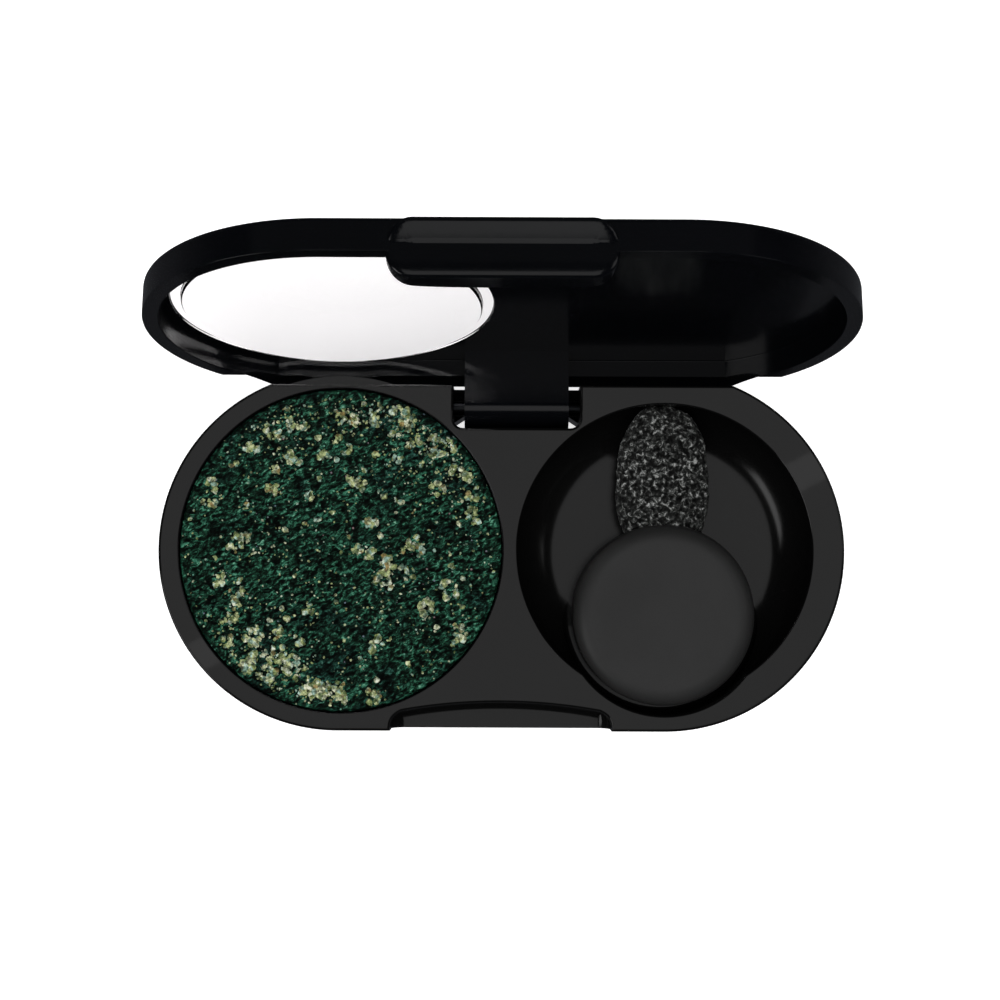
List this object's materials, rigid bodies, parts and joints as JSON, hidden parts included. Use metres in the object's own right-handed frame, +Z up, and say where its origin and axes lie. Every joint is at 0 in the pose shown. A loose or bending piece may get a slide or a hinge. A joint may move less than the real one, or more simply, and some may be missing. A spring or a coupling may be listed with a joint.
{
  "type": "eyeshadow palette",
  "caption": "Pill-shaped hinged compact with one pan of pressed shadow, a bowl holding a sponge applicator, a window in the lid and a thumb tab.",
  "frame": {"origin": "centre of the flat underside, midway between the two round ends", "axes": "+X along the case from the shadow pan to the applicator's bowl, +Y towards the hinge, +Z up"},
  "size_m": [0.0554, 0.0381, 0.0327],
  "materials": {
    "case_satin": "black moulded ABS, polished deck and satin wells",
    "lid_gloss": "black moulded ABS, semi-polished",
    "knob_matte": "black moulded ABS, fine matte",
    "stem_plastic": "black moulded polypropylene",
    "clear_lens": "clear moulded acrylic, polished",
    "sponge_foam": "black flocked latex foam",
    "pressed_shadow": "dark green pressed powder with pale gold flakes",
    "tinplate": "drawn tinplate",
    "pin_steel": "blackened steel wire",
    "glue": "hot-melt glue",
    "label_film": "blank silver label film"
  },
  "bodies": {
    "base": {"base_shell": "case_satin", "bottom_cover": "case_satin", "base_label": "label_film", "pan_glue": "glue", "shadow_pan": "tinplate", "pressed_shadow": "pressed_shadow"},
    "lid": {"lid_shell": "lid_gloss", "window_lens": "clear_lens", "hinge_pin": "pin_steel"},
    "applicator": {"applicator_knob": "knob_matte", "applicator_stem": "stem_plastic", "sponge_tip": "sponge_foam"}
  },
  "joints": [
    {"name": "lid_hinge", "type": "hinge", "parent": "base", "child": "lid", "pos_m": [0.0012, 0.0117, 0.007], "axis": [1, 0, 0], "range_deg": [0, 105]},
    {"name": "applicator_lift", "type": "slide", "parent": "base", "child": "applicator", "axis": [0, 0, 1], "range_m": [0, 0.04]}
  ]
}
